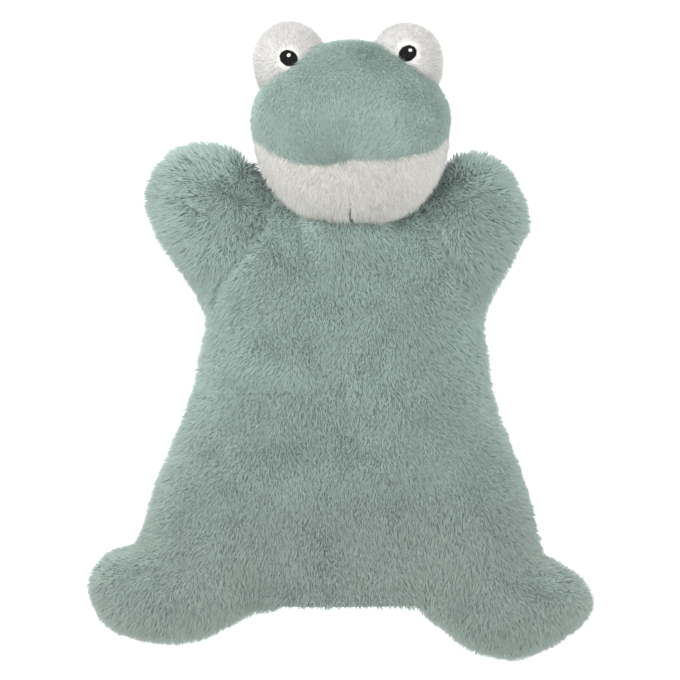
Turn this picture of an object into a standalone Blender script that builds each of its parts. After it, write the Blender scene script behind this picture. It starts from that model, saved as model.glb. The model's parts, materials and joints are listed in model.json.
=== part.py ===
"""A plush frog glove puppet, as separate named pieces, in metres with +Z up.

The origin is the middle of the hand opening, in the plane of the hem. The puppet stands upright as on a
raised hand and faces -Y, so its own right hand is at -X. "left" and "right" below are the viewer's.
Outer surfaces here are the cloth with its pile pressed down; the loose pile stands PILE proud of them.
"""

from math import cos, pi, sin, sqrt

import bpy
from mathutils import Vector

# Driving dimensions: the pile, the walls of each layer of cloth and the spaces between pieces
PILE = 0.004
PANEL = 0.003
LINING = 0.0008
FACING = 0.002
FOLD_WALL = 0.0015
BODY_LINING_SPACE = 0.0016
LIMB_LINING_SPACE = 0.0022
SEAM = 0.0006
GAP = 0.0003
FOLD_GAP = 0.0015

# Body: half-widths over the pile, and half-thicknesses of the cloth, by height above the hem
WAIST_HALF = 0.0590
WAIST_Z = 0.116
HIP_HALF = 0.0850
HIP_Z = 0.024
FLARE_POWER = 1.3
SIDE_SLOPE = 1.15
HEM_THICK = 0.0180
BELLY_THICK = 0.0210
BELLY_Z = 0.060
CHEST_THICK = 0.0150
SKIRT_TOP = 0.061
CHEST_BOTTOM = 0.079
CHEST_TOP = 0.148
HEM_DEPTH = 0.009

# Neck and head
HEAD_X = 0.0025
HEAD_CENTRE = Vector((HEAD_X, -0.005, 0.198))
HEAD_HALF = Vector((0.0380, 0.0335, 0.0345))
HEAD_PANEL = 0.0025
NECK_Z = 0.160
NECK_ANGLE = 145.0
MOUTH_ANGLE = 106.0
CROWN_ANGLE = 6.0
HEAD_SEAM_ANGLE = 1.2
HEAD_STUFFING_SPACE = 0.0012
NECK_RING = (0.0162, 0.0016)
NOD_RISE = 0.004
SLEEVE_RADIUS = 0.0096
SLEEVE_TOP = 0.204
SLEEVE_RISE = 0.003
SLEEVE_HEM = (0.0124, 0.0014)
BORE_SPACE = 0.0005
# The cloth round the neck: (height, how far forward, half-width, half-thickness)
NECK_ROWS = (
    (CHEST_TOP + FOLD_GAP, 0.0, 0.0255, 0.0140),
    (CHEST_TOP + 0.005, 0.0, 0.0240, 0.0195),
    (NECK_Z + 0.001, 0.001, 0.0225, 0.0220),
    (NECK_Z + 0.0085, 0.005, 0.0205, 0.0185),
)

# Eyes
EYE_SPREAD = 0.0253
EYE_Y = -0.002
EYE_Z = 0.2295
EYE_RADIUS = 0.0125
EYE_COVER = 0.0022
EYE_SPACE = 0.0005
PUPIL_RADIUS = 0.0040
PUPIL_THICK = 0.0010
GLINT_RADIUS = 0.0009
GLINT_THICK = 0.0006
GLINT_RISE = 0.001

# Each limb hangs from a fold line in the plane y = 0: (x, z) of its two ends, how far the limb reaches
# beyond the line, the half-width of its root, and where its middle lies along the line.
FOLDS = {
    "arm_left": {
        "ends": ((-0.0580, 0.1250), (-0.0291, 0.1775)),
        "reach": 0.0470,
        "half": 0.0290,
        "middle": 0.0360,
        "drift": 0.0,
    },
    "arm_right": {
        "ends": ((0.0605, 0.1225), (0.0316, 0.1750)),
        "reach": 0.0435,
        "half": 0.0280,
        "middle": 0.0340,
        "drift": 0.0,
    },
    "foot_left": {
        "ends": ((-0.0860, 0.0240), (-0.0490, -0.0100)),
        "reach": 0.0330,
        "half": 0.0270,
        "middle": 0.0245,
        "drift": -0.34,
    },
    "foot_right": {
        "ends": ((0.0830, 0.0240), (0.0410, -0.0100)),
        "reach": 0.0375,
        "half": 0.0285,
        "middle": 0.0265,
        "drift": -0.26,
    },
}
LIMB_POWER = 2.6
TIP_POWER = 0.8
TIP_HALF = 0.0012
ARM_THICK = 0.0130
ARM_CLEAR = 0.0130
POCKET_SHORT = 0.0105
ARMHOLE_ALONG = 0.0100
ARMHOLE_HALF = 0.0160
ARMHOLE_THICK = 0.0080
ARMHOLE_SPAN = (-0.036, -0.004)
FOOT_THICK = 0.0125
FOOT_CLEAR = 0.0070
STUFFING_SHORT = 0.0095
# The cloth at a limb's fold: (place along the fold, half-length along it, half-thickness), on its body
# side and at the fold itself
SHOULDER_ROWS = ((0.0080, 0.0240, 0.0085), (0.0240, 0.0215, 0.0115))
HIP_ROWS = ((0.0200, 0.0170, 0.0060), (0.0230, 0.0205, 0.0085))

SHARP_ANGLE = 0.7
MERGE = 0.00001
COLOURS = {
    "sage_plush": (0.27, 0.36, 0.33),
    "white_plush": (0.80, 0.79, 0.76),
    "knit_lining": (0.46, 0.54, 0.51),
    "stuffing": (0.86, 0.86, 0.84),
    "black_thread": (0.012, 0.012, 0.014),
    "white_thread": (0.88, 0.88, 0.86),
}


def clear_scene():
    for obj in list(bpy.data.objects):
        bpy.data.objects.remove(obj)


def collection(name):
    made = bpy.data.collections.new(name)
    bpy.context.scene.collection.children.link(made)
    return made


def material(name):
    """A cloth, fibre or thread material: fully rough, with no metal in it."""
    made = bpy.data.materials.get(name) or bpy.data.materials.new(name)
    made.use_nodes = True
    shader = made.node_tree.nodes["Principled BSDF"]
    shader.inputs["Base Color"].default_value = (*COLOURS[name], 1)
    shader.inputs["Roughness"].default_value = 0.9
    shader.inputs["Metallic"].default_value = 0.0
    return made


def add_object(name, points, faces, colour):
    """A mesh object whose vertices are world points, shaded smooth up to SHARP_ANGLE."""
    mesh = bpy.data.meshes.new(name)
    mesh.from_pydata([tuple(p) for p in points], [], faces)
    mesh.update()
    obj = bpy.data.objects.new(name, mesh)
    obj.data.materials.append(material(colour))
    parts.objects.link(obj)
    mesh.shade_smooth()
    mesh.set_sharp_from_angle(angle=SHARP_ANGLE)
    return obj


def thicken(obj, thickness):
    """Gives an open sheet its wall, inwards from the outer face."""
    wall = obj.modifiers.new("wall", "SOLIDIFY")
    wall.thickness = thickness
    wall.offset = -1.0
    return obj


def adopt(obj, pivot):
    """Hangs a piece on its joint's empty, leaving it where it is."""
    obj.parent = pivot
    obj.matrix_parent_inverse = pivot.matrix_world.inverted()
    return obj


def pivot(name, place):
    made = bpy.data.objects.new(name, None)
    made.location = place
    parts.objects.link(made)
    bpy.context.view_layer.update()
    return made


# Sections: a row of cloth is an ellipse's half, (middle, half-width vector, half-thickness)


class Fold:
    """A limb's own frame in the plane y = 0: out points away from the body, along follows the fold."""

    def __init__(self, ends, reach, half, middle, drift):
        start, finish = (Vector((x, 0, z)) for x, z in ends)
        self.start = start
        self.along = (finish - start).normalized()
        self.out = self.along.cross(Vector((0, 1, 0)))
        if self.out.x * start.x < 0:
            self.out.negate()
        self.reach = reach
        self.half = half
        self.middle = middle
        self.drift = drift

    def point(self, out, along):
        return self.start + out * self.out + along * self.along

    def x_at(self, out, z):
        """Where the line at this distance out crosses the height z."""
        on_line = self.point(out, 0)
        return on_line.x + (z - on_line.z) * self.along.x / self.along.z

    def row(self, out, thick, inset):
        """The limb's section at a distance out: its width dies away towards the tip."""
        share = min(out / self.reach, 1.0)
        shrink = sqrt(max(1 - share**LIMB_POWER, 0.0))
        middle = self.point(out, self.middle + self.drift * max(out, 0.0))
        wide = max(self.half * shrink - PILE - inset, TIP_HALF)
        deep = max(thick * shrink**TIP_POWER - inset, 0.0)
        return middle, wide * self.along, deep


def body_half(z):
    """Half the body's width over its pile."""
    rise = max((WAIST_Z - z) / (WAIST_Z - HIP_Z), 0.0)
    return WAIST_HALF + (HIP_HALF - WAIST_HALF) * rise**FLARE_POWER


def body_thick(z):
    """Half the body's thickness: fullest at the belly, less at the hem and the chest."""
    if z < BELLY_Z:
        share = (BELLY_Z - z) / BELLY_Z
        return BELLY_THICK + (HEM_THICK - BELLY_THICK) * share**2
    share = (z - BELLY_Z) / (CHEST_TOP - BELLY_Z)
    return BELLY_THICK + (CHEST_THICK - BELLY_THICK) * share**2


def body_row(z, inset=0.0):
    """The body's section at a height, held back from the fold lines of the limbs."""
    right = body_half(z) - PILE - SIDE_SLOPE * inset
    left = -right
    if z < 2 * HIP_Z:
        left = max(left, folds["foot_left"].x_at(-FOOT_CLEAR - inset, z))
        right = min(right, folds["foot_right"].x_at(-FOOT_CLEAR - inset, z))
    if z > CHEST_BOTTOM:
        left = max(left, folds["arm_left"].x_at(-ARM_CLEAR - inset, z))
        right = min(right, folds["arm_right"].x_at(-ARM_CLEAR - inset, z))
    middle = Vector(((left + right) / 2, 0, z))
    half = Vector(((right - left) / 2, 0, 0))
    return middle, half, body_thick(z) - inset


def half_shell(name, rows, side, wall, colour, count=24, closed_tip=False):
    """One panel of cloth: the half of a sleeve that lies in front of (side -1) or behind (side 1) y = 0."""
    return cut(tube(name, rows, wall, colour, count, closed_tip), halves[side])


def half_space(name, side):
    """A cutter that takes away everything on the other side of the seam plane."""
    block = 1.0
    bpy.ops.mesh.primitive_cube_add(size=block, location=(0, side * (block / 2 - SEAM / 2), 0))
    obj = move_to(bpy.context.object, cutters)
    obj.name = name
    return as_cutter(obj)


def ring_points(row, count):
    middle, half, deep = row
    points = []
    for k in range(count):
        turn = 2 * pi * k / count
        points.append(middle + half * cos(turn) + Vector((0, deep * sin(turn), 0)))
    return points


def tube(name, rows, wall, colour, count=20, closed_tip=False):
    """A sleeve of cloth through its rows, open at both ends or closed at the last."""
    points = [p for row in rows for p in ring_points(row, count)]
    faces = []
    for i in range(len(rows) - 1):
        for k in range(count):
            a, b = i * count + k, i * count + (k + 1) % count
            faces.append((a, b, b + count, a + count))
    if closed_tip:
        last = (len(rows) - 1) * count
        faces.append(tuple(range(last, last + count)))
    if winds_in(rows):
        faces = [face[::-1] for face in faces]
    return thicken(add_object(name, points, faces, colour), wall)


def lofted_solid(name, rows, colour, count=16):
    """A stuffed form through its rows, closed at both ends."""
    points = [p for row in rows for p in ring_points(row, count)]
    last = (len(rows) - 1) * count
    faces = [tuple(range(count - 1, -1, -1)), tuple(range(last, last + count))]
    for i in range(len(rows) - 1):
        for k in range(count):
            a, b = i * count + k, i * count + (k + 1) % count
            faces.append((a, b, b + count, a + count))
    if winds_in(rows):
        faces = [face[::-1] for face in faces]
    return add_object(name, points, faces, colour)


def winds_in(rows):
    """Whether rings made from these rows have their faces pointing inwards."""
    travel = rows[-1][0] - rows[0][0]
    return rows[0][1].cross(Vector((0, 1, 0))).dot(travel) < 0


def spread(low, high, count):
    return [low + (high - low) * i / (count - 1) for i in range(count)]


def limb_stations(clear, fold, count=6):
    """Distances out along a limb, closer together towards its rounded tip."""
    last = fold.reach - PILE - clear
    return [clear + last * sin(pi / 2 * i / (count - 1)) for i in range(count)]


def make_skirt():
    """The lower body: front and back panels, their lining and the turned-up hem inside its mouth."""
    heights = [0.0, 0.008, 0.016, 0.024, 0.030, 0.038, 0.046, SKIRT_TOP]
    for word, side in (("front", -1), ("back", 1)):
        rows = [body_row(z) for z in heights]
        half_shell(f"skirt_{word}_panel", rows, side, PANEL, "sage_plush")
        inset = PANEL + BODY_LINING_SPACE
        rows = [body_row(z, inset) for z in heights if z > HEM_DEPTH]
        rows[0] = body_row(HEM_DEPTH + GAP, inset)
        half_shell(f"skirt_{word}_lining", rows, side, LINING, "knit_lining", 20)
        hem_facing(f"hem_{word}_facing", side, inset)


def hem_facing(name, side, inset):
    """The plush turned up inside the hem: an upright band whose lower edge is flat in the plane z = 0."""
    middle, half, deep = body_row(0.0, inset)
    upper = (middle + Vector((0, 0, HEM_DEPTH)), half, deep)
    return half_shell(name, [(middle, half, deep), upper], side, FACING, "sage_plush")


def make_waist_fold():
    """The cloth round the waist, which bends as the puppet bows."""
    rows = [body_row(z) for z in spread(SKIRT_TOP + FOLD_GAP, CHEST_BOTTOM - FOLD_GAP, 3)]
    tube("waist_fold", rows, PANEL, "sage_plush", 24)


def armhole(word):
    """A cutter for the way from the body's hollow into an arm, through the panels and their lining."""
    fold = folds[f"arm_{word}"]
    rows = [
        (fold.point(out, ARMHOLE_ALONG), ARMHOLE_HALF * fold.along, ARMHOLE_THICK)
        for out in ARMHOLE_SPAN
    ]
    hole = move_to(lofted_solid(f"armhole_{word}", rows, "knit_lining", 20), cutters)
    return as_cutter(hole)


def make_chest(bow):
    """The upper body between the arms: front and back panels and their lining, open to both arms."""
    heights = [CHEST_BOTTOM, 0.090, 0.098, 0.108, 0.120, 0.134, CHEST_TOP]
    holes = [armhole("left"), armhole("right")]
    for word, side in (("front", -1), ("back", 1)):
        rows = [body_row(z) for z in heights]
        panel = half_shell(f"chest_{word}_panel", rows, side, PANEL, "sage_plush")
        rows = [body_row(z, PANEL + BODY_LINING_SPACE) for z in heights]
        lining = half_shell(f"chest_{word}_lining", rows, side, LINING, "knit_lining", 20)
        for piece in (panel, lining):
            for hole in holes:
                cut(piece, hole)
            adopt(piece, bow)


def make_arm(word, bow):
    """A mitt: front and back panels, the finger pocket inside it and the fold at the shoulder."""
    fold = folds[f"arm_{word}"]
    swing = adopt(pivot(f"arm_{word}_swing", fold.start), bow)
    outs = limb_stations(ARM_CLEAR, fold)
    for name, side in (("front", -1), ("back", 1)):
        rows = [fold.row(out, ARM_THICK, 0.0) for out in outs]
        panel = half_shell(f"arm_{word}_{name}_panel", rows, side, PANEL, "sage_plush", 20, True)
        adopt(panel, swing)
    outs = spread(ARM_CLEAR, fold.reach - POCKET_SHORT, 4)
    rows = [fold.row(out, ARM_THICK, PANEL + LIMB_LINING_SPACE) for out in outs]
    adopt(tube(f"arm_{word}_finger_pocket", rows, LINING, "knit_lining", 16, True), swing)
    rows = fold_rows(fold, SHOULDER_ROWS, ARM_CLEAR, ARM_THICK)
    adopt(tube(f"shoulder_{word}_fold", rows, FOLD_WALL, "sage_plush", 20), bow)


def fold_rows(fold, sizes, clear, thick):
    """The three rows of the cloth at a fold: by the body, on the fold line and by the limb."""
    outs = (-clear + FOLD_GAP, 0.0)
    rows = [
        (fold.point(out, along), half * fold.along, deep)
        for out, (along, half, deep) in zip(outs, sizes)
    ]
    return rows + [fold.row(clear - FOLD_GAP, thick, BORE_SPACE)]


def make_foot(word):
    """A stuffed foot: front and back panels, the stuffing between them and the fold at the hip."""
    fold = folds[f"foot_{word}"]
    flap = pivot(f"foot_{word}_flap", fold.start)
    outs = limb_stations(FOOT_CLEAR, fold)
    for name, side in (("front", -1), ("back", 1)):
        rows = [fold.row(out, FOOT_THICK, 0.0) for out in outs]
        panel = half_shell(f"foot_{word}_{name}_panel", rows, side, PANEL, "sage_plush", 20, True)
        adopt(panel, flap)
    outs = spread(FOOT_CLEAR, fold.reach - STUFFING_SHORT, 5)
    rows = [fold.row(out, FOOT_THICK, PANEL + LIMB_LINING_SPACE) for out in outs]
    adopt(lofted_solid(f"foot_{word}_stuffing", rows, "stuffing"), flap)
    rows = fold_rows(fold, HIP_ROWS, FOOT_CLEAR, FOOT_THICK)
    tube(f"hip_{word}_fold", rows, FOLD_WALL, "sage_plush", 16)


def turned(name, outline, place, colour, steps=28):
    """A turned piece: an outline of (radius, height) running down its outer side, about a vertical axis."""
    mesh = bpy.data.meshes.new(name)
    edges = [(i, i + 1) for i in range(len(outline) - 1)]
    mesh.from_pydata([(r, 0, h) for r, h in outline], edges, [])
    obj = bpy.data.objects.new(name, mesh)
    obj.location = place
    obj.data.materials.append(material(colour))
    parts.objects.link(obj)
    screw = obj.modifiers.new("turn", "SCREW")
    screw.steps = steps
    screw.render_steps = steps
    screw.use_merge_vertices = True
    screw.merge_threshold = MERGE
    screw.use_smooth_shade = True
    return obj


def ring(name, radius, thick, place, colour):
    """A rolled seam or hem: a round bead bent into a ring."""
    bpy.ops.mesh.primitive_torus_add(
        location=place,
        major_segments=20,
        minor_segments=6,
        major_radius=radius,
        minor_radius=thick,
    )
    obj = bpy.context.object
    obj.name = name
    obj.data.name = name
    obj.data.materials.append(material(colour))
    obj.data.shade_smooth()
    move_to(obj, parts)
    return obj


def move_to(obj, target):
    for group in list(obj.users_collection):
        group.objects.unlink(obj)
    target.objects.link(obj)
    return obj


def make_neck(bow):
    """The seam where the head is sewn on, the hemmed mouth of the finger sleeve and the cloth round them."""
    place = Vector((HEAD_X, 0, NECK_Z))
    nod_place = place + Vector((0, 0, NOD_RISE))
    turn = adopt(pivot("head_turn", place), bow)
    adopt(ring("neck_seam_ring", *NECK_RING, place, "sage_plush"), turn)
    tilt = adopt(pivot("head_tilt", nod_place), turn)
    adopt(ring("finger_sleeve_hem", *SLEEVE_HEM, place, "knit_lining"), tilt)
    rows = [
        (Vector((HEAD_X, -forward, z)), Vector((half, 0, 0)), deep)
        for z, forward, half, deep in NECK_ROWS
    ]
    adopt(tube("neck_fold", rows, FOLD_WALL, "sage_plush", 24), bow)
    return adopt(pivot("head_nod", nod_place), tilt)


def head_point(down, round_):
    """A point of the head: down is the angle from the crown, round_ the angle from straight ahead."""
    across = HEAD_HALF.x * sin(down) * sin(round_)
    forward = HEAD_HALF.y * sin(down) * cos(round_)
    return HEAD_CENTRE + Vector((across, -forward, HEAD_HALF.z * cos(down)))


def head_panel(name, down, round_, counts, colour):
    """A panel of the head's cloth between two angles down from the crown and two angles round."""
    downs = [pi / 180 * a for a in spread(*down, counts[0] + 1)]
    rounds = [pi / 180 * a for a in spread(*round_, counts[1] + 1)]
    points = [head_point(d, r) for d in downs for r in rounds]
    wide = counts[1] + 1
    faces = []
    for i in range(counts[0]):
        for k in range(counts[1]):
            a = i * wide + k
            faces.append((a, a + wide, a + wide + 1, a + 1))
    return thicken(add_object(name, points, faces, colour), HEAD_PANEL)


def make_head_panels(nod):
    """The green face over the mouth, the white chin in two halves and the green back in two halves."""
    gap = HEAD_SEAM_ANGLE
    face = (CROWN_ANGLE, MOUTH_ANGLE)
    chin = (MOUTH_ANGLE + gap, NECK_ANGLE)
    whole = (CROWN_ANGLE, NECK_ANGLE)
    adopt(head_panel("face_panel", face, (-90 + gap, 90 - gap), (9, 12), "sage_plush"), nod)
    for word, side in (("left", -1), ("right", 1)):
        inner, outer = sorted((side * gap, side * (90 - gap)))
        adopt(head_panel(f"chin_{word}_panel", chin, (inner, outer), (4, 6), "white_plush"), nod)
        inner, outer = sorted((side * (90 + gap), side * (180 - gap)))
        adopt(head_panel(f"head_back_{word}_panel", whole, (inner, outer), (11, 6), "sage_plush"), nod)


def ellipsoid(name, centre, half, segments, rings, target):
    """A ball stretched to three half-widths, with the stretch applied to its mesh."""
    bpy.ops.mesh.primitive_uv_sphere_add(segments=segments, ring_count=rings, radius=1.0)
    obj = bpy.context.object
    obj.name = name
    obj.data.name = name
    for vertex in obj.data.vertices:
        vertex.co = Vector([a * b for a, b in zip(vertex.co, half)])
    obj.location = centre
    obj.data.shade_smooth()
    return move_to(obj, target)


def as_cutter(obj):
    obj.hide_render = True
    obj.display_type = "WIRE"
    return obj


def cut(obj, cutter):
    knife = obj.modifiers.new(f"cut_{cutter.name}", "BOOLEAN")
    knife.operation = "DIFFERENCE"
    knife.solver = "EXACT"
    knife.object = cutter
    return obj


def make_head_filling(nod):
    """The stuffing, bored for a finger and flat at the neck."""
    inset = HEAD_PANEL + HEAD_STUFFING_SPACE
    half = HEAD_HALF - Vector((inset, inset, inset))
    filling = ellipsoid("head_stuffing", HEAD_CENTRE, half, 20, 12, parts)
    filling.data.materials.append(material("stuffing"))
    bottom = HEAD_CENTRE.z + HEAD_HALF.z * cos(NECK_ANGLE * pi / 180) + 0.001
    start = bottom - HEAD_HALF.z
    top = SLEEVE_TOP + BORE_SPACE + 0.0005
    bore = cylinder("finger_bore", SLEEVE_RADIUS + BORE_SPACE, top - start, 20, cutters)
    bore.location = (HEAD_X, 0, (start + top) / 2)
    cut(filling, as_cutter(bore))
    size = 0.1
    bpy.ops.mesh.primitive_cube_add(size=size, location=(HEAD_X, 0, bottom - size / 2))
    base = move_to(bpy.context.object, cutters)
    base.name = "neck_plane"
    cut(filling, as_cutter(base))
    adopt(filling, nod)


def make_finger_sleeve(nod):
    """The blind sleeve of lining that the finger goes into, round-ended at the top."""
    outer, inner = SLEEVE_RADIUS, SLEEVE_RADIUS - LINING
    low = NECK_Z + SLEEVE_RISE
    bend = [pi / 2 * i / 3 for i in range(4)]
    crown = SLEEVE_TOP - outer - low
    outline = [(outer * sin(a), crown + outer * cos(a)) for a in bend]
    outline += [(outer, 0.0), (inner, 0.0)]
    outline += [(inner * sin(a), crown + inner * cos(a)) for a in reversed(bend)]
    adopt(turned("finger_sleeve", outline, (HEAD_X, 0, low), "knit_lining", 16), nod)


def cylinder(name, radius, length, count, target):
    bpy.ops.mesh.primitive_cylinder_add(vertices=count, radius=radius, depth=length)
    obj = move_to(bpy.context.object, target)
    obj.name = name
    obj.data.name = name
    return obj


def make_eye(word, side, nod):
    """A white bulge sewn on the head, its stuffing, the stitched pupil and the stitched glint on it."""
    centre = Vector((HEAD_X + side * EYE_SPREAD, EYE_Y, EYE_Z))
    ball = Vector((1, 1, 1))
    clearance = Vector((EYE_SPACE, EYE_SPACE, EYE_SPACE))
    under = ellipsoid(f"eye_seat_{word}", HEAD_CENTRE, HEAD_HALF + clearance, 28, 18, cutters)
    hollow = ellipsoid(
        f"eye_hollow_{word}", centre, ball * (EYE_RADIUS - EYE_COVER), 14, 8, cutters
    )
    cover = ellipsoid(f"eye_{word}_cover", centre, ball * EYE_RADIUS, 20, 12, parts)
    cover.data.materials.append(material("white_plush"))
    cut(cut(cover, as_cutter(hollow)), as_cutter(under))
    adopt(cover, nod)
    radius = EYE_RADIUS - EYE_COVER - EYE_SPACE
    filling = ellipsoid(f"eye_{word}_stuffing", centre, ball * radius, 12, 8, parts)
    filling.data.materials.append(material("stuffing"))
    adopt(cut(filling, under), nod)
    front = centre.y - EYE_RADIUS - GAP
    pupil = cylinder(f"pupil_{word}", PUPIL_RADIUS, PUPIL_THICK, 24, parts)
    pupil.data.materials.append(material("black_thread"))
    place_facing(pupil, Vector((centre.x, front - PUPIL_THICK / 2, centre.z)))
    adopt(pupil, nod)
    glint = cylinder(f"pupil_glint_{word}", GLINT_RADIUS, GLINT_THICK, 12, parts)
    glint.data.materials.append(material("white_thread"))
    proud = PUPIL_THICK + GAP + GLINT_THICK / 2
    place_facing(glint, Vector((centre.x, front - proud, centre.z + GLINT_RISE)))
    adopt(glint, nod)


def place_facing(obj, place):
    """Turns an upright disc to face the viewer and puts it in place."""
    obj.location = place
    obj.rotation_euler = (pi / 2, 0, 0)
    bpy.context.view_layer.update()
    return obj


clear_scene()
parts = collection("frog_glove_puppet")
cutters = collection("cutters")
halves = {-1: half_space("behind_the_seam", 1), 1: half_space("before_the_seam", -1)}
folds = {name: Fold(**values) for name, values in FOLDS.items()}
waist = pivot("waist_bow", (0, 0, (SKIRT_TOP + CHEST_BOTTOM) / 2))
make_skirt()
make_waist_fold()
make_chest(waist)
for limb in ("left", "right"):
    make_arm(limb, waist)
    make_foot(limb)
head = make_neck(waist)
make_head_panels(head)
make_head_filling(head)
make_finger_sleeve(head)
make_eye("left", -1, head)
make_eye("right", 1, head)
bpy.context.view_layer.update()
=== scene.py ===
"""The looks of a plush frog glove puppet: its cloth, its pile and its stitching, in metres, +Z up, facing -Y.

"left" and "right" are the viewer's. The cloth is a set of surfaces worked out in the plane y = 0 and swelled
to both sides, and the pile is real strands that are rooted in the cloth.
"""

import json

import bpy
import numpy as np
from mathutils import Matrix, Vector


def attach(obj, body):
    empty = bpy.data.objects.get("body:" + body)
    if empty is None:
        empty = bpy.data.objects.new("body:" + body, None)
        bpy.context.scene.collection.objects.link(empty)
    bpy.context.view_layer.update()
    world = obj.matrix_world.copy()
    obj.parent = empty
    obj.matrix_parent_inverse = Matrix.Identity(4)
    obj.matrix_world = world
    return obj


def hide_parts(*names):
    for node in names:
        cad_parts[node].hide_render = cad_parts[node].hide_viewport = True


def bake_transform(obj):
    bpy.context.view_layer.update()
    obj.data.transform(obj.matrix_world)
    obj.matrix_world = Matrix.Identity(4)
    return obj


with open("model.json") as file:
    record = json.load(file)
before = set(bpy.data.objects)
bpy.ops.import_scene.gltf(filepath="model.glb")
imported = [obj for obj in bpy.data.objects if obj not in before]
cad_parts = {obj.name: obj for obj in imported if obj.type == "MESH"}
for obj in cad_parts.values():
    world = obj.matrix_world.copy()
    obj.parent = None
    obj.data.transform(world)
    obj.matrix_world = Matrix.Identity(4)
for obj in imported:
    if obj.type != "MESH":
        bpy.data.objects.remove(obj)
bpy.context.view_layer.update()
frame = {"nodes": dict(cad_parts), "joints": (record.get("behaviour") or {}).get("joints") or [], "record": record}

MM = 0.001
JOINTS = {joint["name"]: joint for joint in frame["joints"]}
STRANDS_SHARE = 1.0
MOST_STRANDS = 48000
ROOT_DEEP = 0.3

# Body: the outline over the pile, from the crotch round a foot, up the side and round the arm to the neck
LEFT_OUTLINE = (
    (-40.0, -3.2), (-48.2, -10.3), (-57.0, -15.2), (-72.0, -17.9), (-87.2, -15.9), (-101.0, -9.2),
    (-106.6, 2.0), (-106.0, 13.0), (-99.4, 20.8), (-90.5, 23.4), (-85.2, 28.0), (-80.6, 45.0),
    (-72.4, 65.5), (-64.3, 85.6), (-59.6, 105.8), (-57.9, 117.5), (-60.6, 127.0), (-66.2, 136.0),
    (-72.8, 146.2), (-78.7, 156.2), (-82.4, 166.0), (-82.1, 175.4), (-77.2, 185.8), (-70.1, 191.7),
    (-59.6, 193.9), (-48.3, 192.7), (-39.0, 187.5), (-33.0, 180.6), (-26.0, 176.0),
)
RIGHT_OUTLINE = (
    (36.0, -2.2), (41.3, -11.2), (54.2, -20.6), (70.6, -24.7), (85.7, -20.3), (99.4, -11.2),
    (106.6, -1.8), (101.8, 9.2), (93.6, 15.1), (86.0, 19.9), (83.6, 27.3), (79.4, 45.0),
    (71.7, 65.5), (64.2, 85.6), (61.9, 105.8), (60.7, 117.0), (62.5, 126.0), (67.4, 136.0),
    (73.1, 146.0), (78.2, 156.0), (78.8, 164.0), (75.9, 172.3), (71.5, 181.5), (65.2, 187.5),
    (57.0, 190.0), (46.6, 188.0), (38.8, 181.6), (31.0, 176.0),
)
PILE_RISE = 3.1 * MM
BODY_TOP = 176 * MM
LOWER_TOP = 88 * MM
FOOT_CUT = 12 * MM
HEM_Z = -0.2 * MM
HEM_DROP = 2.6 * MM
HEM_MIDDLE = -3.9 * MM
HEM_HALF = 39.0 * MM
WAIST_BEND = ((0, 0, 52 * MM), (0, 0, LOWER_TOP))
SHOULDER_BEND = 14 * MM
BODY_THICK = ((0.0, 18.6), (60.0, 21.6), (88.0, 21.0), (148.0, 16.4), (158.0, 16.0), (176.0, 8.0))
BODY_ROUND = 46 * MM
ARM_THICK = 13.8 * MM
ARM_ROUND = 26 * MM
FOOT_THICK = 13.6 * MM
FOOT_ROUND = 26 * MM

# Unevenness of the stuffed cloth: size across, seed, and depth in mm
SWELLS = ((42 * MM, 3, 2.6), (13 * MM, 5, 1.0))

# How deep the puckers over a shoulder's seam are and how wide, and the stitched groove's height with them
PUCKER_DEEP, PUCKER_WIDE = 2.4 * MM, 5.5 * MM
GROOVE_Z, GROOVE_DEEP, GROOVE_WIDE = 7.5 * MM, 0.9 * MM, 1.6 * MM

NECK_X = 2.5 * MM
NECK_RADIUS = 19.8 * MM
NECK_ROWS = ((112.0, 0.0), (136.0, 0.74), (154.0, 1.0), (161.0, 1.0), (166.0, 0.84), (176.0, 0.52))

# Partings of the pile: the two ends (x, z), how wide and how deep, and how hard the pile leans away
PARTINGS = (
    ((-64.0, 183.0), (-30.0, 168.0), 3.0, 1.6, 1.5), ((-66.0, 169.5), (-57.0, 163.0), 2.2, 1.2, 1.6),
    ((-31.0, 166.0), (-40.0, 158.0), 1.8, 1.2, 1.3), ((-33.0, 157.0), (-54.0, 126.0), 2.4, 3.0, 2.3),
    ((34.0, 165.0), (66.0, 172.5), 3.2, 1.4, 1.3), ((36.0, 162.0), (50.0, 140.0), 3.0, 1.4, 0.8),
    ((-93.0, 16.0), (-73.0, 10.5), 2.0, 1.2, 1.2), ((-99.0, 8.0), (-84.0, 5.0), 1.8, 0.9, 1.0),
    ((78.0, 13.0), (96.0, 7.0), 2.0, 1.2, 1.2), ((93.0, -8.0), (99.0, 1.0), 1.6, 0.9, 1.0),
)

# Head
HEAD_CENTRE = np.array((3.7, -5.0, 204.0)) * MM
HEAD_HALF = np.array((39.4, 34.0, 31.2)) * MM
HEAD_DOWN = 44.5 * MM
HEAD_SQUARE = (2.15, 1.85)
NECK_DIMPLE = (5.0 * MM, 12.0 * MM)
LIP_RISE = 1.9 * MM
CHIN_JUT = 8.5 * MM
CHIN_SLIDE = 1.1 * MM
CHIN_SEAM_X = 3.3 * MM
CHIN_SEAM_TOP = 168.0 * MM
CHIN_SEAM_LANE = 0.9 * MM
MOUTH_LINE = (
    (-60.0, 206.0), (-38.0, 198.0), (-28.0, 189.4), (-18.9, 185.0), (-7.1, 183.6), (1.3, 186.0),
    (11.8, 185.6), (24.4, 186.8), (37.0, 190.4), (46.0, 199.0), (64.0, 209.0),
)
MOUTH_NOTCH = np.array((0.6, -38.0, 185.5)) * MM
FRONT_ROUND = np.linspace(-92, 92, 110)
POLES = (0.02, 179.98)

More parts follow.
